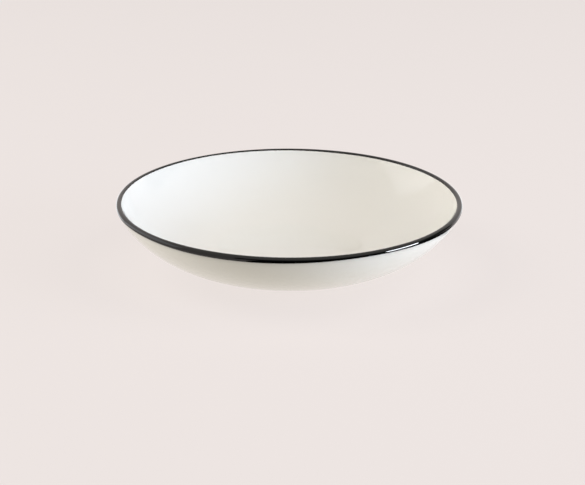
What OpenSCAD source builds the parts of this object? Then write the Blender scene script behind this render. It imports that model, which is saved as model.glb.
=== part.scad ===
// Deep coupe plate of glazed stoneware, with a black band on its rounded lip.
// Every piece is a revolve of an outline in the plane of radius and height.

/* [Plate] */
// Diameter over the banded rim
rim_d = 220; // [195:1:250]
// Height from the resting face to the top of the rim
plate_h = 43.5; // [38:0.5:52]
// Diameter of the level floor of the well
well_floor_d = 77; // [60:1:90]
// Thickness of the clay between the well and the recess under it
floor_t = 3.9; // [3:0.1:6]

/* [Wall] */
// Thickness of the clay at the lip, which ends in a half round
lip_t = 3.2; // [2.6:0.1:4.4]
// Slope of the wall where it meets the lip, in degrees from level
lip_slope = 64; // [56:1:70]
// Length over which the outside curve holds the slope of the lip
outer_lip_pull = 16; // [11:0.5:21]
// Slope of the wall where it leaves the foot, in degrees from level
foot_slope = 3; // [0:0.5:8]
// Length over which the outside curve holds the slope of the foot
outer_foot_pull = 34; // [28:0.5:42]
// Length over which the inside curve holds the slope of the lip
inner_lip_pull = 13; // [9:0.5:18]
// Length over which the inside curve leaves the floor on the level
inner_floor_pull = 44.5; // [36:0.5:52]

/* [Foot] */
// Diameter of the foot ring where it meets the wall
foot_d = 92; // [80:1:104]
// Width of the foot ring at the resting face
foot_w = 5; // [4:0.1:8]
// Height of the foot ring, which is the depth of the recess inside it too
foot_h = 3.4; // [2.6:0.1:5]
// Lean of the sides of the ring, in degrees from upright
foot_draft = 12; // [4:1:20]
// Radius of the lower edges of the ring
foot_edge_r = 1; // [0.5:0.1:1.2]
// Radius of the hollow between the ring and the clay above it
foot_root_r = 1; // [0.7:0.1:1.2]

/* [Glaze and band] */
// Thickness of the glaze
glaze_t = 0.35; // [0.2:0.05:0.5]
// Height of the bare clay left round the foot ring by wiping
wiped_h = 1.5; // [1.3:0.1:1.6]
// Thickness of the black band
band_t = 0.4; // [0.25:0.05:0.6]
// Drop of the band's edge below the top of the rim, on the outside
band_out_drop = 2.8; // [2:0.1:5]
// Drop of the band's edge below the top of the rim, on the inside
band_in_drop = 1; // [0.8:0.1:3]

/* [Hidden] */
$fn = 180;
wall_steps = 24;
lip_steps = 10;
corner_steps = 6;

// Directions in the plane of radius and height
outward = [1, 0];
foot_rise = [cos(foot_slope), sin(foot_slope)];
lip_rise = [cos(lip_slope), sin(lip_slope)];
function unit(v) = v / norm(v);
function left_of(d) = [-d[1], d[0]];
function turned(d, angle) = d * cos(angle) + left_of(d) * sin(angle);

// A station is a point of the clay's outline and the direction that leaves the clay there.
// Outlines are travelled with the clay on the left.
function station(point, travel) = [point, -left_of(unit(travel))];
function reversed(path) = [for (i = [len(path) - 1:-1:0]) path[i]];
// A path that goes on from another leaves out the station they share
function going_on(path) = [for (i = [1:len(path) - 1]) path[i]];

// Stations of an arc that starts along a direction and turns left, or right if the angle is negative
function arc(start, travel, angle, r, steps) =
    let (side = sign(angle), centre = start + side * r * left_of(travel))
    [for (i = [0:steps])
        let (d = turned(travel, angle * i / steps))
        station(centre - side * r * left_of(d), d)];

// Stations that round the corner at b, coming from a and leaving to c
function corner(a, b, c, r) =
    let (u = unit(b - a), v = unit(c - b), angle = atan2(cross(u, v), u * v))
    arc(b - u * r * tan(abs(angle) / 2), u, angle, r, corner_steps);

// Stations of the cubic curve with the control points a, b, c and d
function curve(a, b, c, d) =
    [for (i = [0:wall_steps])
        let (t = i / wall_steps, s = 1 - t)
        station(s * s * s * a + 3 * s * s * t * b + 3 * s * t * t * c + t * t * t * d,
            s * s * (b - a) + 2 * s * t * (c - b) + t * t * (d - c))];

// Parts of a rising path below and above a height, with a station put in at that height
function crossing(path, h) =
    let (n = len([for (s = path) if (s[0][1] < h) s]), a = path[n - 1], b = path[n])
    let (share = (h - a[0][1]) / (b[0][1] - a[0][1]))
    [a[0] + share * (b[0] - a[0]), unit(a[1] + share * (b[1] - a[1]))];
function below(path, h) = concat([for (s = path) if (s[0][1] < h) s], [crossing(path, h)]);
function above(path, h) = concat([crossing(path, h)], [for (s = path) if (s[0][1] > h) s]);

// Foot ring, from the recess to the wall
foot_lean = tan(foot_draft);
ring_out_r = foot_d / 2 - foot_h * foot_lean;
ring_in_r = ring_out_r - foot_w;
recess_centre = [0, foot_h];
recess_edge = [ring_in_r - foot_h * foot_lean, foot_h];
ring_in = [ring_in_r, 0];
ring_out = [ring_out_r, 0];
ring_root = [foot_d / 2, foot_h];
root_path = corner(ring_out, ring_root, ring_root + foot_rise, foot_root_r);
root_end = root_path[corner_steps][0];

// Lip, a half round between the two sides of the wall
lip_r = lip_t / 2;
lip_centre = [rim_d / 2 - band_t - lip_r, plate_h - band_t - lip_r];
lip_out = lip_centre - lip_r * left_of(lip_rise);
lip_in = lip_centre + lip_r * left_of(lip_rise);
lip_top = lip_centre + lip_r * left_of(outward);

// Well, whose level floor lies over the recess
floor_h = foot_h + floor_t;
floor_edge = [well_floor_d / 2, floor_h];

// The two sides of the wall, as curves that leave both their ends along a slope
outer_wall = curve(root_end, root_end + outer_foot_pull * foot_rise,
    lip_out - outer_lip_pull * lip_rise, lip_out);
inner_wall = curve(lip_in, lip_in - inner_lip_pull * lip_rise,
    floor_edge + inner_floor_pull * outward, floor_edge);

// The clay's outline in three stretches: under the foot, up the outside, and down the inside
under_path = concat(
    [station(recess_centre, outward)],
    corner(recess_centre, recess_edge, ring_in, foot_root_r),
    corner(recess_edge, ring_in, ring_out, foot_edge_r));
outside_path = concat(
    corner(ring_in, ring_out, ring_root, foot_edge_r),
    root_path,
    going_on(outer_wall),
    going_on(arc(lip_out, lip_rise, 180 - lip_slope, lip_r, lip_steps)));
inside_path = concat(
    going_on(arc(lip_top, -outward, lip_slope, lip_r, lip_steps)),
    going_on(inner_wall),
    [station([0, floor_h], -outward)]);

// What the glaze and the band cover
band_out_h = plate_h - band_out_drop;
band_in_h = plate_h - band_in_drop;
inside_rise = reversed(inside_path);
glazed_outside = below(above(outside_path, wiped_h), band_out_h);
glazed_inside = reversed(below(inside_rise, band_in_h));
glazed_recess = reversed(above(reversed(under_path), wiped_h));
banded_lip = concat(above(outside_path, band_out_h), reversed(above(inside_rise, band_in_h)));

// A wiped edge thins to nothing, because its station has no direction
function thinned_at(path, edge) = [for (i = [0:len(path) - 1]) i == edge ? [path[i][0], [0, 0]] : path[i]];
function points(path) = [for (s = path) s[0]];
function points_off(path, t) = [for (s = path) s[0] + t * s[1]];

// A fired coat that lies on the clay along a path
module coat(path, t) {
    rotate_extrude()
        polygon(concat(points_off(path, t), points(reversed(path))));
}

// Fired clay: floor, wall, half-round lip and foot ring in one piece
module clay_body() {
    color("#D9CDB9")
        rotate_extrude()
            polygon(concat(points(under_path), points(outside_path), points(inside_path)));
}

// Glaze over the well and up the inside to the band
module inside_glaze() {
    color("#F4F1E9")
        coat(glazed_inside, glaze_t);
}

// Glaze from the wiped line on the foot up the outside to the band
module outside_glaze() {
    color("#F1EDE3")
        coat(thinned_at(glazed_outside, 0), glaze_t);
}

// Glaze inside the foot ring
module recess_glaze() {
    color("#EFEAE0")
        coat(thinned_at(glazed_recess, len(glazed_recess) - 1), glaze_t);
}

// Black band over the lip
module rim_band() {
    color("#141313")
        coat(banded_lip, band_t);
}

clay_body();
inside_glaze();
outside_glaze();
recess_glaze();
rim_band();
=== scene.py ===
import bisect
import math

import bmesh
import bpy
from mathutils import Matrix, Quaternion, Vector, geometry


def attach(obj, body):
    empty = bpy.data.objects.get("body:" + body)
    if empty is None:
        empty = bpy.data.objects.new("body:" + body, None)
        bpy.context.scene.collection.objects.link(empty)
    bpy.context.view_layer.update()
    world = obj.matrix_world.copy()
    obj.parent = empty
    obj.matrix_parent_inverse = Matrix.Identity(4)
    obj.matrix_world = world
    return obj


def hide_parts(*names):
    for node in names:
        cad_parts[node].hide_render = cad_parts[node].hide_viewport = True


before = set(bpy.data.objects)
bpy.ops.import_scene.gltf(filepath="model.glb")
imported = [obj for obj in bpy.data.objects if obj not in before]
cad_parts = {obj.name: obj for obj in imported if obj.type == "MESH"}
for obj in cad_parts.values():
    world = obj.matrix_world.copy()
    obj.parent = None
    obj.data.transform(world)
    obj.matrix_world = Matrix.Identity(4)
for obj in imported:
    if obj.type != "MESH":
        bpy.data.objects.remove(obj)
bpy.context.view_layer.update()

mm = 0.001


def linearFrom(hexColour):
    channels = [int(hexColour[i:i + 2], 16) / 255 for i in (1, 3, 5)]
    return [c / 12.92 if c <= 0.04045 else ((c + 0.055) / 1.055) ** 2.4 for c in channels] + [1.0]


def addNode(tree, kind, links=None, **settings):
    node = tree.nodes.new("ShaderNode" + kind)
    for name, value in settings.items():
        setattr(node, name, value)
    for name, value in (links or {}).items():
        socket = node.inputs[name]
        if isinstance(value, bpy.types.NodeSocket):
            tree.links.new(value, socket)
        else:
            socket.default_value = value
    return node


def newMaterial(name):
    material = bpy.data.materials.new(name)
    material.use_nodes = True
    return material, material.node_tree, material.node_tree.nodes["Principled BSDF"]


def newObject(name, bm):
    mesh = bpy.data.meshes.new(name)
    bm.to_mesh(mesh)
    bm.free()
    made = bpy.data.objects.new(name, mesh)
    bpy.context.scene.collection.objects.link(made)
    return made


# The plate's measures in millimetres, in the plane of radius and height
plate = {
    "rimRadius": 110, "height": 43.5,
    "glaze": 0.35, "band": 0.4,              # thicknesses of the fired coats
    "lipRadius": 1.6, "lipSlope": 64,        # half round of the clay under the band
    "outerLipPull": 16, "outerFootPull": 34, "footSlope": 3,
    "innerLipPull": 13, "innerFloorPull": 44.5,
    "floorRadius": 38.5, "floorThickness": 3.9,
    "footRadius": 46, "footWidth": 5, "footHeight": 3.4, "footDraft": 12, "footRounding": 1,
    "wipedHeight": 1.5,                      # bare clay round the foot
    "bandOutside": 40.7, "bandInside": 42.5,  # heights of the band's two edges on the clay
}
outlineSteps = {"wall": 56, "lip": 28, "corner": 8, "level": 10}


def direction(degrees):
    return Vector((math.cos(math.radians(degrees)), 0, math.sin(math.radians(degrees))))


def leftOf(travel):
    return Vector((-travel.z, 0, travel.x))


def arcPoints(start, travel, turn, radius, count):
    side = 1 if turn > 0 else -1
    centre = start + leftOf(travel) * radius * side
    heading = math.degrees(math.atan2(travel.z, travel.x))
    return [centre - leftOf(direction(heading + turn * i / count)) * radius * side
            for i in range(count + 1)]


def cornerPoints(before, corner, after, radius, count):
    comesIn, goesOut = (corner - before).normalized(), (after - corner).normalized()
    turn = math.degrees(math.atan2(comesIn.x * goesOut.z - comesIn.z * goesOut.x, comesIn.dot(goesOut)))
    land = radius * math.tan(math.radians(abs(turn)) / 2)
    return arcPoints(corner - comesIn * land, comesIn, turn, radius, count)


footLean = math.tan(math.radians(plate["footDraft"]))
ringRoot = Vector((plate["footRadius"], 0, plate["footHeight"]))
ringOut = Vector((ringRoot.x - ringRoot.z * footLean, 0, 0))
ringIn = Vector((ringOut.x - plate["footWidth"], 0, 0))
recessEdge = Vector((ringIn.x - ringRoot.z * footLean, 0, ringRoot.z))
footRise, lipRise = direction(plate["footSlope"]), direction(plate["lipSlope"])
clayTop = plate["height"] - plate["band"]
lipCentre = Vector((plate["rimRadius"] - plate["band"] - plate["lipRadius"], 0,
                    clayTop - plate["lipRadius"]))
lipOut = lipCentre - leftOf(lipRise) * plate["lipRadius"]
floorEdge = Vector((plate["floorRadius"], 0, plate["footHeight"] + plate["floorThickness"]))

# up the outside from the wiped line, over the lip and down to the centre of the well
rootBend = cornerPoints(ringOut, ringRoot, ringRoot + footRise, plate["footRounding"],
                        outlineSteps["corner"])
ringSide = (ringRoot - ringOut).normalized()
wallPath = [ringOut + ringSide * (plate["wipedHeight"] / ringSide.z)] + rootBend
wallPath += geometry.interpolate_bezier(
    rootBend[-1], rootBend[-1] + footRise * plate["outerFootPull"],
    lipOut - lipRise * plate["outerLipPull"], lipOut, outlineSteps["wall"])[1:]
lipArc = arcPoints(lipOut, lipRise, 180, plate["lipRadius"], outlineSteps["lip"])
wallPath += lipArc[1:]
wallPath += geometry.interpolate_bezier(
    lipArc[-1], lipArc[-1] - lipRise * plate["innerLipPull"],
    floorEdge + Vector((plate["innerFloorPull"], 0, 0)), floorEdge, outlineSteps["wall"])[1:]
wallPath += [Vector((floorEdge.x * (1 - i / outlineSteps["level"]), 0, floorEdge.z))
             for i in range(1, outlineSteps["level"] + 1)]

# out along the roof of the recess and down the inside of the foot ring
recessRoof = Vector((0, 0, plate["footHeight"]))
recessBend = cornerPoints(recessRoof, recessEdge, ringIn, plate["footRounding"], outlineSteps["corner"])
ringInside = (ringIn - recessEdge).normalized()
recessPath = [Vector((recessBend[0].x * i / outlineSteps["level"], 0, recessRoof.z))
              for i in range(outlineSteps["level"])]
recessPath += recessBend + [ringIn - ringInside * (plate["wipedHeight"] / -ringInside.z)]


# Places on a path are given by the length along it, in millimetres
def lengthsAlong(path):
    total = [0.0]
    for a, b in zip(path, path[1:]):
        total.append(total[-1] + (b - a).length)
    return total


def pointAt(path, lengths, along):
    i = min(max(bisect.bisect_left(lengths, along), 1), len(path) - 1)
    share = (along - lengths[i - 1]) / (lengths[i] - lengths[i - 1])
    return path[i - 1].lerp(path[i], share)


def alongAt(path, lengths, height, rising):
    for i in range(1, len(path)):
        a, b = path[i - 1], path[i]
        if (rising and a.z < height <= b.z) or (not rising and a.z >= height > b.z):
            return lengths[i - 1] + (height - a.z) / (b.z - a.z) * (lengths[i] - lengths[i - 1])


# Sizes, depths, heights and lengths in these three dictionaries are in millimetres
glazeLook = {
    "thin": "#F3F2EC", "thick": "#F1EFE8", "driftSize": 45,       # tone where it ran thin and thick
    "waverSize": 28, "waverDepth": 0.02, "peelSize": 3, "peelDepth": 0.001,
    "speck": "#A8987C", "speckSpacing": 11, "speckShare": 0.45,
    "speckCore": 0.010, "speckEdge": 0.016,                       # radii, as shares of the spacing
    # painted shade just below the band: its grey, how far down it fades, and its share at the left and
    # right
    "paintedShade": "#62676C", "paintedShadeLength": 1.15,
    "paintedShadeLeft": 0.40, "paintedShadeRight": 0.12, "leftAt": -60, "rightAt": 105,
    "roughness": 0.015, "ior": 1.5,
}
bandLook = {
    "deep": "#030304", "thin": "#0A0B08", "thinFrom": 0.15, "thinTo": 0.45, "driftSize": 9,
    # painted sheen on the crest of the lip, for the light it mirrors
    "paintedSheenOnCrest": "#10120F", "crestFrom": 1.7, "crestTo": 0.7,        # down from the top of the rim
    "brushLine": 0.35, "brushDepth": 0.002, "waverSize": 12, "waverDepth": 0.02,
    "roughness": 0.05, "ior": 1.45,
}
clayLook = {
    "light": "#D8CAB2", "dark": "#C6B498", "grainSize": 0.8, "grainDepth": 0.05,
    "flash": "#CDB591", "flashSize": 14, "flashFrom": 0.3, "flashTo": 0.7, "flashShare": 0.35,
    "toasted": "#B48D66", "toastedFrom": 0.7, "toastedTo": 1.6, "toastedShare": 0.55,
    "turningLine": 0.5, "turningDepth": 0.03, "roughness": 0.85,
}


def glazedStoneware(name, paintsShadeUnderBand):
    # Cream tin glaze over stoneware, dipped and fired glassy: near white and mirror smooth, with a
    # slow waver in what it mirrors and hardly any drift of tone where it ran thicker
    look = glazeLook
    material, tree, shader = newMaterial(name)
    place = addNode(tree, "TexCoord").outputs["Object"]
    drift = addNode(tree, "TexNoise", {"Vector": place, "Scale": 1 / (look["driftSize"] * mm)})
    tone = addNode(tree, "Mix", {"Factor": drift.outputs["Fac"], "A": linearFrom(look["thin"]),
                                 "B": linearFrom(look["thick"])}, data_type="RGBA")

    # iron specks under the glaze, a third of a millimetre across
    cells = addNode(tree, "TexVoronoi", {"Vector": place, "Scale": 1 / (look["speckSpacing"] * mm)})
    speck = addNode(tree, "MapRange", {"Value": cells.outputs["Distance"], "From Min": look["speckCore"],
                                       "From Max": look["speckEdge"], "To Min": look["speckShare"],
                                       "To Max": 0.0})
    tone = addNode(tree, "Mix", {"Factor": speck.outputs["Result"], "A": tone.outputs["Result"],
                                 "B": linearFrom(look["speck"])}, data_type="RGBA")

    if paintsShadeUnderBand:
        # painted shade just below the band: the glaze darkens to blue grey, more at the left than the
        # right
        below = addNode(tree, "Attribute", attribute_name="belowBand")
        fall = addNode(tree, "Math", {0: below.outputs["Fac"], 1: -1 / look["paintedShadeLength"]},
                       operation="MULTIPLY")
        fall = addNode(tree, "Math", {0: fall.outputs[0]}, operation="EXPONENT")
        across = addNode(tree, "SeparateXYZ", {0: place})
        paintedShadeBySide = addNode(tree, "MapRange", {"Value": across.outputs["X"], "From Min": look["leftAt"] * mm,
                                           "From Max": look["rightAt"] * mm,
                                           "To Min": look["paintedShadeLeft"], "To Max": look["paintedShadeRight"]})
        share = addNode(tree, "Math", {0: fall.outputs[0], 1: paintedShadeBySide.outputs["Result"]},
                        operation="MULTIPLY")
        tone = addNode(tree, "Mix", {"Factor": share.outputs[0], "A": tone.outputs["Result"],
                                     "B": linearFrom(look["paintedShade"])}, data_type="RGBA")
    tree.links.new(tone.outputs["Result"], shader.inputs["Base Color"])

    waver = addNode(tree, "TexNoise", {"Vector": place, "Scale": 1 / (look["waverSize"] * mm),
                                       "Detail": 1.0})
    slow = addNode(tree, "Bump", {"Height": waver.outputs["Fac"], "Distance": look["waverDepth"] * mm})
    peel = addNode(tree, "TexNoise", {"Vector": place, "Scale": 1 / (look["peelSize"] * mm),
                                      "Detail": 1.0})
    fine = addNode(tree, "Bump", {"Height": peel.outputs["Fac"], "Distance": look["peelDepth"] * mm,
                                  "Normal": slow.outputs["Normal"]})
    tree.links.new(fine.outputs["Normal"], shader.inputs["Normal"])
    shader.inputs["Roughness"].default_value = look["roughness"]
    shader.inputs["IOR"].default_value = look["ior"]
    return material


def distanceFromAxis(tree, place):
    parts = addNode(tree, "SeparateXYZ", {0: place})
    level = addNode(tree, "CombineXYZ", {0: parts.outputs["X"], 1: parts.outputs["Y"]})
    radius = addNode(tree, "VectorMath", {0: level.outputs[0]}, operation="LENGTH")
    return radius.outputs["Value"], parts.outputs["Z"]


def brushedBlackGlaze():
    # Black iron and cobalt glaze laid on with a full brush while the wheel turned: deep black and
    # glossy, with faint brush lines round the lip and an olive cast where they are thin
    look = bandLook
    material, tree, shader = newMaterial("brushedBlackGlaze")
    place = addNode(tree, "TexCoord").outputs["Object"]
    radius, height = distanceFromAxis(tree, place)
    across = addNode(tree, "Math", {0: radius, 1: height}, operation="ADD")
    lines = addNode(tree, "TexNoise", {"W": across.outputs[0], "Scale": 1 / (look["brushLine"] * mm)},
                    noise_dimensions="1D")
    drift = addNode(tree, "TexNoise", {"Vector": place, "Scale": 1 / (look["driftSize"] * mm),
                                       "Detail": 3.0})
    both = addNode(tree, "Math", {0: lines.outputs["Fac"], 1: drift.outputs["Fac"]},
                   operation="MULTIPLY")
    thin = addNode(tree, "MapRange", {"Value": both.outputs[0], "From Min": look["thinFrom"],
                                      "From Max": look["thinTo"]})
    tone = addNode(tree, "Mix", {"Factor": thin.outputs["Result"], "A": linearFrom(look["deep"]),
                                 "B": linearFrom(look["thin"])}, data_type="RGBA")
    # painted sheen: the crest of the lip is a little greyer, for the light it mirrors
    crest = addNode(tree, "MapRange", {"Value": height,
                                       "From Min": (plate["height"] - look["crestFrom"]) * mm,
                                       "From Max": (plate["height"] - look["crestTo"]) * mm})
    tone = addNode(tree, "Mix", {"Factor": crest.outputs["Result"], "A": tone.outputs["Result"],
                                 "B": linearFrom(look["paintedSheenOnCrest"])}, data_type="RGBA")
    tree.links.new(tone.outputs["Result"], shader.inputs["Base Color"])
    waver = addNode(tree, "TexNoise", {"Vector": place, "Scale": 1 / (look["waverSize"] * mm),
                                       "Detail": 1.0})
    slow = addNode(tree, "Bump", {"Height": waver.outputs["Fac"], "Distance": look["waverDepth"] * mm})
    fine = addNode(tree, "Bump", {"Height": lines.outputs["Fac"], "Distance": look["brushDepth"] * mm,
                                  "Normal": slow.outputs["Normal"]})
    tree.links.new(fine.outputs["Normal"], shader.inputs["Normal"])
    shader.inputs["Roughness"].default_value = look["roughness"]
    shader.inputs["IOR"].default_value = look["ior"]
    return material


def bareStoneware():
    # Bare stoneware, turned on the wheel and wiped with a sponge: matt warm buff with fine grog,
    # faint turning lines, and a toasted line where the glaze ends
    look = clayLook
    material, tree, shader = newMaterial("bareStoneware")
    place = addNode(tree, "TexCoord").outputs["Object"]
    radius, height = distanceFromAxis(tree, place)
    grain = addNode(tree, "TexNoise", {"Vector": place, "Scale": 1 / (look["grainSize"] * mm),
                                       "Detail": 3.0})
    tone = addNode(tree, "Mix", {"Factor": grain.outputs["Fac"], "A": linearFrom(look["light"]),
                                 "B": linearFrom(look["dark"])}, data_type="RGBA")
    patches = addNode(tree, "TexNoise", {"Vector": place, "Scale": 1 / (look["flashSize"] * mm)})
    flash = addNode(tree, "MapRange", {"Value": patches.outputs["Fac"], "From Min": look["flashFrom"],
                                       "From Max": look["flashTo"], "To Max": look["flashShare"]})
    tone = addNode(tree, "Mix", {"Factor": flash.outputs["Result"], "A": tone.outputs["Result"],
                                 "B": linearFrom(look["flash"])}, data_type="RGBA")
    toasting = addNode(tree, "MapRange", {"Value": height, "From Min": look["toastedFrom"] * mm,
                                          "From Max": look["toastedTo"] * mm,
                                          "To Max": look["toastedShare"]})
    tone = addNode(tree, "Mix", {"Factor": toasting.outputs["Result"], "A": tone.outputs["Result"],
                                 "B": linearFrom(look["toasted"])}, data_type="RGBA")
    tree.links.new(tone.outputs["Result"], shader.inputs["Base Color"])
    lines = addNode(tree, "TexNoise", {"W": radius, "Scale": 1 / (look["turningLine"] * mm)},
                    noise_dimensions="1D")
    turned = addNode(tree, "Bump", {"Height": lines.outputs["Fac"],
                                    "Distance": look["turningDepth"] * mm})
    rough = addNode(tree, "Bump", {"Height": grain.outputs["Fac"], "Distance": look["grainDepth"] * mm,
                                   "Normal": turned.outputs["Normal"]})
    tree.links.new(rough.outputs["Normal"], shader.inputs["Normal"])
    shader.inputs["Roughness"].default_value = look["roughness"]
    return material


insideMaterial = glazedStoneware("creamStonewareGlaze", False)
outsideMaterial = glazedStoneware("creamStonewareGlazePaintedShadeByTheBand", True)
bandMaterial = brushedBlackGlaze()
clayMaterial = bareStoneware()
print("materials made")

wallLengths = lengthsAlong(wallPath)
recessLengths = lengthsAlong(recessPath)
bandStart = alongAt(wallPath, wallLengths, plate["bandOutside"], True)
bandEnd = alongAt(wallPath, wallLengths, plate["bandInside"], False)
tuck = 0.4         # how far a glaze edge runs on under the band, in millimetres

# How far each hand-made edge strays along the wall: millimetres, waves round the plate, degrees.
# A positive stray makes the band wider, and the wiped strip of bare clay too. Inside, the band
# reaches lowest at the back right, as in the photograph.
strays = {
    "bandOutside": [(0.54, 4, -73), (0.11, 1, -97), (0.06, 9, 20)],
    "bandInside": [(0.08, 0, 0), (0.24, 1, 128), (0.14, 2, 256), (0.08, 3, 24), (0.04, 5, 110),
                   (0.04, 11, 0)],
    "wipedOutside": [(0.25, 3, 10), (0.15, 8, 75), (0.08, 19, 0)],
    "wipedInside": [(0.25, 4, 60), (0.15, 7, 30), (0.08, 17, 0)],
    "none": [],
}

# Steps round the plate; how far from an edge the rows follow its stray and how near to an edge a row
# may lie, in millimetres; steps across a softened corner; degrees from which an edge is shaded sharp
coatMesh = {"steps": 256, "fade": 4.0, "nearest": 0.05, "softSteps": 3, "sharpFrom": 40}

# Each edge: how far along the path, which stray moves it, and which way a positive stray goes
coats = [
    {"name": "outsideGlaze", "node": "outside_glaze", "slot": "cream_glaze", "material": outsideMaterial,
     "path": wallPath, "lengths": wallLengths, "thickness": plate["glaze"], "softened": 0.15,
     "start": (0, "wipedOutside", 1), "end": (bandStart + tuck, "bandOutside", -1)},
    {"name": "rimBand", "node": "rim_band", "slot": "black_band", "material": bandMaterial,
     "path": wallPath, "lengths": wallLengths, "thickness": plate["band"], "softened": 0.1,
     "start": (bandStart, "bandOutside", -1), "end": (bandEnd, "bandInside", 1)},
    {"name": "insideGlaze", "node": "inside_glaze", "slot": "cream_glaze", "material": insideMaterial,
     "path": wallPath, "lengths": wallLengths, "thickness": plate["glaze"], "softened": 0.1,
     "start": (bandEnd - tuck, "bandInside", 1), "end": (wallLengths[-1], "none", 1)},
    {"name": "recessGlaze", "node": "recess_glaze", "slot": "cream_glaze", "material": insideMaterial,
     "path": recessPath, "lengths": recessLengths, "thickness": plate["glaze"], "softened": 0.15,
     "start": (0, "none", 1), "end": (recessLengths[-1], "wipedInside", -1)},
]


def strayAt(stray, azimuth):
    return sum(size * math.cos(waves * azimuth - math.radians(phase))
               for size, waves, phase in strays[stray])


def azimuthOf(co):
    return math.atan2(co.x, -co.y)      # 0 towards the camera, growing to the right


def turnedTo(azimuth, point):
    return Vector((point.x * math.sin(azimuth), -point.x * math.cos(azimuth), point.z))


# Turns points in the plane of radius and height round the axis, through angles in degrees, and joins
# them with faces. The spin of bmesh would give the faces in another order each run.
def sweepRound(bm, points, fromAngle, toAngle, steps):
    columns = []
    for i in range(steps + 1):
        azimuth = math.radians(fromAngle + (toAngle - fromAngle) * i / steps)
        columns.append([bm.verts.new(turnedTo(azimuth, point)) for point in points])
    for here, there in zip(columns, columns[1:]):
        for corners in zip(here, here[1:], there[1:], there):
            bm.faces.new(corners)
    return columns


def makeCoat(coat):
    path, lengths = coat["path"], coat["lengths"]
    start, end = coat["start"][0], coat["end"][0]
    bm = bmesh.new()
    row, along = bm.verts.layers.int.new("row"), bm.verts.layers.float.new("along")
    belowBand = bm.verts.layers.float.new("belowBand")      # millimetres down from the band's edge

    # the clay's outline under this coat, turned once round and welded at the seam and the centre
    nearest = coatMesh["nearest"]
    between = [length for length in lengths if start + nearest < length < end - nearest]
    outline = [start] + between + [end]
    lastRow = len(outline) - 1
    points = [pointAt(path, lengths, length) * mm for length in outline]
    for column in sweepRound(bm, points, 0, 360, coatMesh["steps"]):
        for i, vert in enumerate(column):
            vert[row], vert[along] = i, outline[i]
    bmesh.ops.remove_doubles(bm, verts=bm.verts, dist=1e-7)
    bmesh.ops.recalc_face_normals(bm, faces=bm.faces)

    # edges drawn or wiped by hand stray along the wall, and the rows beside them follow
    for vert in bm.verts:
        azimuth, shift = azimuthOf(vert.co), 0
        for length, stray, way in (coat["start"], coat["end"]):
            near = max(0, 1 - abs(vert[along] - length) / coatMesh["fade"])
            shift += way * near * near * strayAt(stray, azimuth)
        if shift:
            vert[along] += shift
            vert.co = turnedTo(azimuth, pointAt(path, lengths, vert[along])) * mm
        vert[belowBand] = max(0, bandStart - strayAt("bandOutside", azimuth) - vert[along])

    # the clay lies on the left of the path, so the coat grows to its right
    bm.faces.ensure_lookup_table()
    face = bm.faces[len(bm.faces) // 2]
    length = sum(v[along] for v in face.verts) / len(face.verts)
    travel = pointAt(path, lengths, length + nearest) - pointAt(path, lengths, length - nearest)
    outwards = turnedTo(azimuthOf(face.calc_center_median()), -leftOf(travel))
    grows = -1 if face.normal.dot(outwards) > 0 else 1
    bmesh.ops.solidify(bm, geom=bm.faces[:], thickness=grows * coat["thickness"] * mm)
    if bm.calc_volume(signed=True) < 0:
        bmesh.ops.reverse_faces(bm, faces=bm.faces[:])

    # the outer corner of each free edge is softened by firing
    def isOuter(vert):
        clay = turnedTo(azimuthOf(vert.co), pointAt(path, lengths, vert[along])) * mm
        return (vert.co - clay).length > coat["thickness"] * mm / 2
    corners = [e for e in bm.edges if e.calc_face_angle(0) > 1 and e.verts[0][row] == e.verts[1][row]
               and e.verts[0][row] in (0, lastRow) and isOuter(e.verts[0])]
    bmesh.ops.bevel(bm, geom=corners, offset=coat["softened"] * mm, affect="EDGES",
                    segments=coatMesh["softSteps"], profile=0.5, material=-1, clamp_overlap=True)
    print(coat["name"], len(bm.faces), "faces,", len(corners), "edges softened,",
          sum(len(e.link_faces) != 2 for e in bm.edges), "open edges,",
          round(bm.calc_volume(signed=True) / mm ** 3), "cubic millimetres")

    piece = newObject(coat["name"], bm)
    piece.data.materials.append(coat["material"])
    piece.data.shade_smooth()
    piece.data.set_sharp_from_angle(angle=math.radians(coatMesh["sharpFrom"]))
    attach(piece, "root")
    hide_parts(coat["node"])


for coat in coats:
    makeCoat(coat)
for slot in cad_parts["clay_body"].material_slots:
    slot.material = clayMaterial
print("coats made")

# The stage, in metres. The floor lies just under the foot, and the cards just over the floor.
stageLook = {
    "pale": "#ECE4E1", "ownLight": 0.86, "ownStrength": 1.026,
    "bounce": "#E1DCD3", "bounceByFelt": "#B0AA9E", "feltAt": (-0.03, -0.25, 0),
    "feltFrom": 0.05, "feltTo": 0.17, "floorRadius": 2.5, "floorSegments": 96,
    "floorHeight": -0.02 * mm, "cardHeight": 0.05 * mm, "cardSteps": 40,
}
pale = linearFrom(stageLook["pale"])

bm = bmesh.new()
bmesh.ops.create_circle(bm, cap_ends=True, segments=stageLook["floorSegments"],
                        radius=stageLook["floorRadius"])
bmesh.ops.translate(bm, verts=bm.verts, vec=(0, 0, stageLook["floorHeight"]))
floor = newObject("paleFloor", bm)


def seenRays(tree):
    path = addNode(tree, "LightPath")
    either = addNode(tree, "Math", {0: path.outputs["Is Camera Ray"],
                                    1: path.outputs["Is Glossy Ray"]}, operation="MAXIMUM")
    return addNode(tree, "Math", {0: either.outputs[0], 1: path.outputs["Is Transmission Ray"]},
                   operation="MAXIMUM").outputs[0]
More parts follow.
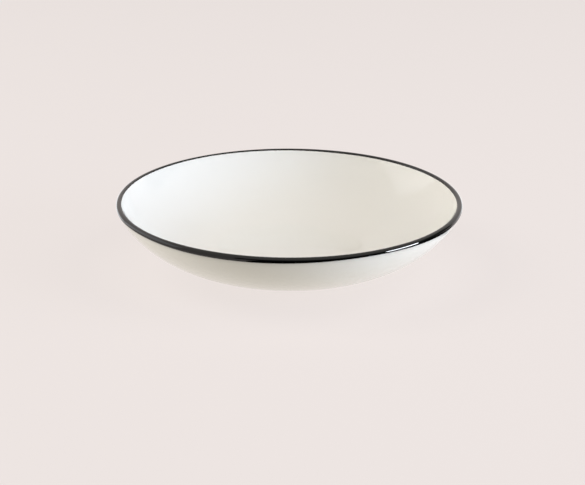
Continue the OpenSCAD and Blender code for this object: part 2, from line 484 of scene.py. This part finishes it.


# Matt pale studio card. Seen directly or in a reflection, most of its colour is its own light, so the
# plate's shadow on it stays faint. To the rays that light the plate it is a glow with no shadow of the
# plate, a painted bounce light that is a little warm and weaker in front, where the felt lies.
floorMaterial, tree, shader = newMaterial("mattPaleCard")
shader.inputs["Base Color"].default_value = pale
shader.inputs["Roughness"].default_value = 1.0
shader.inputs["Specular IOR Level"].default_value = 0.0
glow = addNode(tree, "Emission", {"Color": pale, "Strength": stageLook["ownStrength"]})
lit = addNode(tree, "MixShader", {0: stageLook["ownLight"], 1: shader.outputs[0],
                                  2: glow.outputs[0]})
place = addNode(tree, "TexCoord").outputs["Object"]
fromFelt = addNode(tree, "VectorMath", {0: place, 1: stageLook["feltAt"]}, operation="DISTANCE")
clear = addNode(tree, "MapRange", {"Value": fromFelt.outputs["Value"],
                                   "From Min": stageLook["feltFrom"], "From Max": stageLook["feltTo"]})
thrown = addNode(tree, "Mix", {"Factor": clear.outputs["Result"],
                               "A": linearFrom(stageLook["bounceByFelt"]),
                               "B": linearFrom(stageLook["bounce"])}, data_type="RGBA")
bounce = addNode(tree, "Emission", {"Color": thrown.outputs["Result"]})
mixed = addNode(tree, "MixShader", {0: seenRays(tree), 1: bounce.outputs[0], 2: lit.outputs[0]})
tree.links.new(mixed.outputs[0], tree.nodes["Material Output"].inputs["Surface"])
floor.data.materials.append(floorMaterial)
floorMaterial.cycles.emission_sampling = "NONE"      # so wide that it needs no lamp samples

# Cards shown to mirrored rays alone. Black felt on the floor and on a frame, in front and to the
# right, keeps the band black there, and white card on the floor behind brightens its two ends, as
# in the photograph. Each sweep: from and to how many degrees round the plate (0 towards the camera,
# growing to the right), then radius and height in metres of its two long edges.
# Both cards glow with their own light, like lamps that only reflections show.
cards = [
    {"name": "blackFelt", "tone": "#060606", "glow": 1.0,
     "sweeps": [(-18, 100, (0.12, 0), (1.9, 0)), (-34, 126, (1.9, 0), (1.9, 1.05))]},
    {"name": "glowingWhiteCard", "tone": "#E6E9EC", "glow": 2.3,
     "sweeps": [(202, 248, (0.17, 0), (1.9, 0)), (125, 158, (0.19, 0), (1.9, 0))]},
]
for card in cards:
    cardMaterial, tree, shader = newMaterial(card["name"])
    shader.inputs["Base Color"].default_value = linearFrom("#000000")
    shader.inputs["Specular IOR Level"].default_value = 0.0
    shader.inputs["Emission Color"].default_value = linearFrom(card["tone"])
    shader.inputs["Emission Strength"].default_value = card["glow"]
    cardMaterial.cycles.emission_sampling = "NONE"
    bm = bmesh.new()
    for fromAngle, toAngle, *line in card["sweeps"]:
        ends = [Vector((radius, 0, height + stageLook["cardHeight"])) for radius, height in line]
        sweepRound(bm, ends, fromAngle, toAngle, stageLook["cardSteps"])
    piece = newObject(card["name"], bm)
    piece.data.materials.append(cardMaterial)
    piece.visible_camera = piece.visible_diffuse = piece.visible_shadow = False

# The room is as pale as the floor where it is seen or mirrored, and adds no light of its own
world = bpy.data.worlds.new("paleRoom")
bpy.context.scene.world = world
world.use_nodes = True
tree = world.node_tree
backdrop = tree.nodes["Background"]
backdrop.inputs["Color"].default_value = pale
tree.links.new(seenRays(tree), backdrop.inputs["Strength"])
world.cycles.sampling_method = "NONE"

# Each softbox: where it stands round the plate (degrees from the camera, growing to the right, and
# up from level) and how far off, or where it stands and what it faces; its width and height in
# metres; how bright its face is; its colour. One that is not mirrored lights the plate and doesn't
# show in the glaze, and one that is mirrored only shows there. The glint on the band is the window
# at the right seen again in its full brightness, and the sheen is the one at the left.
softboxes = [
    {"name": "windowAtTheRight", "azimuth": 77, "elevation": 6, "distance": 1.5,
     "width": 0.68, "height": 0.42, "bright": 7.70, "colour": "#D9E7FF", "mirrored": False},
    {"name": "windowGlint", "azimuth": 74.5, "elevation": 6, "distance": 1.45,
     "width": 0.64, "height": 0.34, "bright": 60.0, "colour": "#F4F8FF", "mirrored": True},
    {"name": "cardAtTheRight", "azimuth": 74, "elevation": 16, "distance": 1.8,
     "width": 1.3, "height": 0.60, "bright": 8.80, "colour": "#DFEBFF", "mirrored": False},
    {"name": "lowCardAtTheLeft", "azimuth": 270, "elevation": 10, "distance": 1.8,
     "width": 1.9, "height": 0.45, "bright": 2.75, "colour": "#FFF9F1", "mirrored": False},
    {"name": "windowAtTheLeft", "at": (-1.365, 0.112, 0.60), "faces": (-0.365, -0.550, 0.60),
     "width": 1.42, "height": 1.14, "bright": 0.45, "colour": "#F3F8FF"},
    {"name": "sheenFromTheLeft", "at": (-1.340, 0.0955, 0.60), "faces": (-0.365, -0.550, 0.60),
     "width": 1.39, "height": 1.12, "bright": 0.50, "colour": "#F3F8FF", "mirrored": True},
    {"name": "highAtTheLeft", "azimuth": 270, "elevation": 45, "distance": 1.8,
     "width": 1.2, "height": 1.0, "bright": 4.65, "colour": "#FFFAF2", "mirrored": False},
    {"name": "highAtTheRight", "azimuth": 90, "elevation": 45, "distance": 1.8,
     "width": 1.2, "height": 1.0, "bright": 3.40, "colour": "#FFF9F2", "mirrored": False},
    {"name": "overTheCamera", "azimuth": 0, "elevation": 58, "distance": 1.8,
     "width": 1.0, "height": 1.0, "bright": 1.35, "colour": "#FFFEFF", "mirrored": False},
]
lampsFace = Vector((0, 0, 30 * mm))      # a little over the middle of the plate's height
for box in softboxes:
    light = bpy.data.lights.new(box["name"], "AREA")
    light.shape = "RECTANGLE"
    light.size, light.size_y = box["width"], box["height"]
    light.energy = box["bright"] * math.pi * box["width"] * box["height"]
    light.color = linearFrom(box["colour"])[:3]
    lamp = bpy.data.objects.new(box["name"], light)
    bpy.context.scene.collection.objects.link(lamp)
    if "at" in box:
        lamp.location, facing = box["at"], Vector(box["faces"]) - Vector(box["at"])
    else:
        away = turnedTo(math.radians(box["azimuth"]), direction(box["elevation"]))
        lamp.location, facing = away * box["distance"] + lampsFace, -away
    lamp.rotation_mode = "QUATERNION"
    lamp.rotation_quaternion = facing.to_track_quat("-Z", "Y")
    lamp.visible_camera = False
    if "mirrored" in box:
        lamp.visible_glossy, lamp.visible_diffuse = box["mirrored"], not box["mirrored"]

# The photograph's view: elevation and roll in degrees, distances in metres
photoView = {"elevation": 18.598, "roll": 0.248, "distance": 1.2,
             "aimRight": 2.10 * mm, "aimDown": 28.0 * mm, "clipEnd": 20,
             "lens": 115.95, "sensorWidth": 36}      # these two in millimetres
tilt = math.radians(photoView["elevation"])
rimCentre = Vector((0, 0, plate["height"] * mm))
cameraAt = rimCentre + Vector((0, -math.cos(tilt), math.sin(tilt))) * photoView["distance"]
aim = rimCentre + Vector((photoView["aimRight"], 0, 0)) \
    - Vector((0, math.sin(tilt), math.cos(tilt))) * photoView["aimDown"]
cameraData = bpy.data.cameras.new("photoCamera")
cameraData.sensor_fit = "HORIZONTAL"
cameraData.sensor_width = photoView["sensorWidth"]
cameraData.lens = photoView["lens"]
cameraData.clip_end = photoView["clipEnd"]
camera = bpy.data.objects.new("photoCamera", cameraData)
bpy.context.scene.collection.objects.link(camera)
camera.location = cameraAt
camera.rotation_mode = "QUATERNION"
roll = Quaternion((0, 0, 1), math.radians(photoView["roll"]))
camera.rotation_quaternion = (aim - cameraAt).to_track_quat("-Z", "Y") @ roll
bpy.context.scene.camera = camera
bpy.context.scene.view_settings.view_transform = "Standard"
print("stage, light and camera made")
